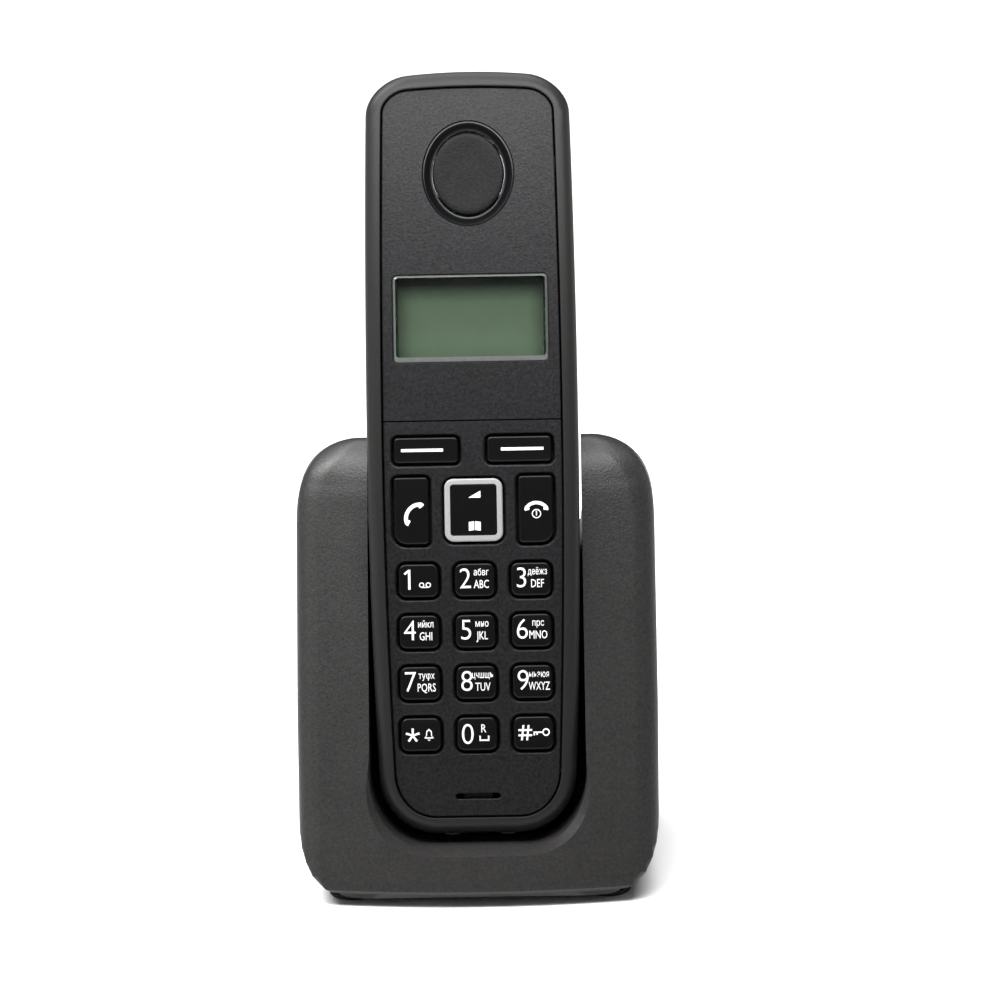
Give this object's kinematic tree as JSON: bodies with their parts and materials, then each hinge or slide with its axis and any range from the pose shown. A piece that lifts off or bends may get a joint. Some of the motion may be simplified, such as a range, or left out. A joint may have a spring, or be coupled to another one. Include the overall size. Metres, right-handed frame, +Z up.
{
  "type": "cordless phone with charging base",
  "caption": "Slim cordless handset with keypad and small display, leaning in a shield-shaped charging base with sockets at the rear.",
  "frame": {"origin": "centre of the bounding box, on the surface it stands on", "axes": "+Z up, the face with the keypad looks towards -Y, +X is on the right as seen from the front"},
  "size_m": [0.0762, 0.0758, 0.1679],
  "materials": {
    "handset_casing": "satin, warm dark grey",
    "handset_back": "fine texture, dark grey",
    "panel": "fine texture, charcoal",
    "key_cap": "smooth, near black",
    "legend_white": "white print and white ring",
    "earpiece_ring": "polished black",
    "earpiece_cap": "fine texture, charcoal",
    "speaker": "stamped metal",
    "lens": "clear",
    "lcd": "grey-green display",
    "holder": "white moulding",
    "key_mat": "silicone",
    "board": "lacquered circuit board",
    "antenna": "plated strip",
    "contact": "plated contact",
    "spring": "wire",
    "cell": "printed film over a metal can",
    "screw": "zinc plated",
    "base_shell": "satin, warm dark grey",
    "base_rear": "fine texture, dark grey",
    "socket": "black moulding",
    "page_key": "smooth, dark grey",
    "foot": "soft rubber"
  },
  "bodies": {
    "base": {"base_front_shell": "base_shell", "base_rear_shell": "base_rear", "base_board": "board", "base_antenna": "antenna", "line_socket": "socket", "power_socket": "socket", "foot_front_left": "foot", "foot_front_right": "foot", "foot_rear_left": "foot", "foot_rear_right": "foot", "base_screw_left": "screw", "base_screw_right": "screw"},
    "handset": {"handset_front_frame": "handset_casing", "handset_rear_shell": "handset_back", "display_panel": "panel", "keypad_panel": "panel", "earpiece_ring": "earpiece_ring", "earpiece_cap": "earpiece_cap", "earpiece_speaker": "speaker", "ringer_speaker": "speaker", "microphone": "speaker", "display_window": "lens", "lcd_module": "lcd", "lcd_holder": "holder", "key_mat": "key_mat", "handset_board": "board", "handset_antenna": "antenna", "handset_screw_left": "screw", "battery_cell_left": "cell", "battery_spring_left": "spring", "battery_plate_left": "contact", "charge_contact_left": "contact", "handset_screw_right": "screw", "battery_cell_right": "cell", "battery_spring_right": "spring", "battery_plate_right": "contact", "charge_contact_right": "contact"},
    "key_1": {"key_1": "key_cap"},
    "key_2": {"key_2": "key_cap"},
    "key_3": {"key_3": "key_cap"},
    "key_4": {"key_4": "key_cap"},
    "key_5": {"key_5": "key_cap"},
    "key_6": {"key_6": "key_cap"},
    "key_7": {"key_7": "key_cap"},
    "key_8": {"key_8": "key_cap"},
    "key_9": {"key_9": "key_cap"},
    "key_star": {"key_star": "key_cap"},
    "key_0": {"key_0": "key_cap"},
    "key_hash": {"key_hash": "key_cap"},
    "soft_key_left": {"soft_key_left": "key_cap"},
    "soft_key_right": {"soft_key_right": "key_cap"},
    "talk_key": {"talk_key": "key_cap"},
    "end_key": {"end_key": "key_cap"},
    "nav_key": {"nav_key": "legend_white"},
    "battery_cover": {"battery_cover": "handset_back"},
    "page_key": {"page_key": "page_key"},
    "cradle_contact_left": {"cradle_contact_left": "contact"},
    "cradle_contact_right": {"cradle_contact_right": "contact"}
  },
  "joints": [
    {"name": "handset_lift", "type": "slide", "parent": "base", "child": "handset", "axis": [0, 0.2756, 0.9613], "range_m": [0, 0.1]},
    {"name": "battery_cover_pull", "type": "slide", "parent": "handset", "child": "battery_cover", "axis": [0, 0.9613, -0.2756], "range_m": [0, 0.012]},
    {"name": "key_1_press", "type": "slide", "parent": "handset", "child": "key_1", "axis": [0, 0.9613, -0.2756], "range_m": [0, 0.0005], "stiffness_N_per_m": 2000},
    {"name": "key_2_press", "type": "slide", "parent": "handset", "child": "key_2", "axis": [0, 0.9613, -0.2756], "range_m": [0, 0.0005], "stiffness_N_per_m": 2000},
    {"name": "key_3_press", "type": "slide", "parent": "handset", "child": "key_3", "axis": [0, 0.9613, -0.2756], "range_m": [0, 0.0005], "stiffness_N_per_m": 2000},
    {"name": "key_4_press", "type": "slide", "parent": "handset", "child": "key_4", "axis": [0, 0.9613, -0.2756], "range_m": [0, 0.0005], "stiffness_N_per_m": 2000},
    {"name": "key_5_press", "type": "slide", "parent": "handset", "child": "key_5", "axis": [0, 0.9613, -0.2756], "range_m": [0, 0.0005], "stiffness_N_per_m": 2000},
    {"name": "key_6_press", "type": "slide", "parent": "handset", "child": "key_6", "axis": [0, 0.9613, -0.2756], "range_m": [0, 0.0005], "stiffness_N_per_m": 2000},
    {"name": "key_7_press", "type": "slide", "parent": "handset", "child": "key_7", "axis": [0, 0.9613, -0.2756], "range_m": [0, 0.0005], "stiffness_N_per_m": 2000},
    {"name": "key_8_press", "type": "slide", "parent": "handset", "child": "key_8", "axis": [0, 0.9613, -0.2756], "range_m": [0, 0.0005], "stiffness_N_per_m": 2000},
    {"name": "key_9_press", "type": "slide", "parent": "handset", "child": "key_9", "axis": [0, 0.9613, -0.2756], "range_m": [0, 0.0005], "stiffness_N_per_m": 2000},
    {"name": "key_star_press", "type": "slide", "parent": "handset", "child": "key_star", "axis": [0, 0.9613, -0.2756], "range_m": [0, 0.0005], "stiffness_N_per_m": 2000},
    {"name": "key_0_press", "type": "slide", "parent": "handset", "child": "key_0", "axis": [0, 0.9613, -0.2756], "range_m": [0, 0.0005], "stiffness_N_per_m": 2000},
    {"name": "key_hash_press", "type": "slide", "parent": "handset", "child": "key_hash", "axis": [0, 0.9613, -0.2756], "range_m": [0, 0.0005], "stiffness_N_per_m": 2000},
    {"name": "soft_key_left_press", "type": "slide", "parent": "handset", "child": "soft_key_left", "axis": [0, 0.9613, -0.2756], "range_m": [0, 0.0005], "stiffness_N_per_m": 2000},
    {"name": "soft_key_right_press", "type": "slide", "parent": "handset", "child": "soft_key_right", "axis": [0, 0.9613, -0.2756], "range_m": [0, 0.0005], "stiffness_N_per_m": 2000},
    {"name": "talk_key_press", "type": "slide", "parent": "handset", "child": "talk_key", "axis": [0, 0.9613, -0.2756], "range_m": [0, 0.0005], "stiffness_N_per_m": 2000},
    {"name": "end_key_press", "type": "slide", "parent": "handset", "child": "end_key", "axis": [0, 0.9613, -0.2756], "range_m": [0, 0.0005], "stiffness_N_per_m": 2000},
    {"name": "nav_key_rock", "type": "hinge", "parent": "handset", "child": "nav_key", "pos_m": [0, -0.00731, 0.07844], "axis": [1, 0, 0], "range_deg": [-3, 3], "stiffness_Nm_per_rad": 0.25},
    {"name": "page_key_press", "type": "slide", "parent": "base", "child": "page_key", "axis": [0, -0.9725, -0.2328], "range_m": [0, 0.0005], "stiffness_N_per_m": 2000},
    {"name": "cradle_contact_left_press", "type": "slide", "parent": "base", "child": "cradle_contact_left", "axis": [0, -0.2756, -0.9613], "range_m": [0, 0.001], "stiffness_N_per_m": 600},
    {"name": "cradle_contact_right_press", "type": "slide", "parent": "base", "child": "cradle_contact_right", "axis": [0, -0.2756, -0.9613], "range_m": [0, 0.001], "stiffness_N_per_m": 600}
  ]
}
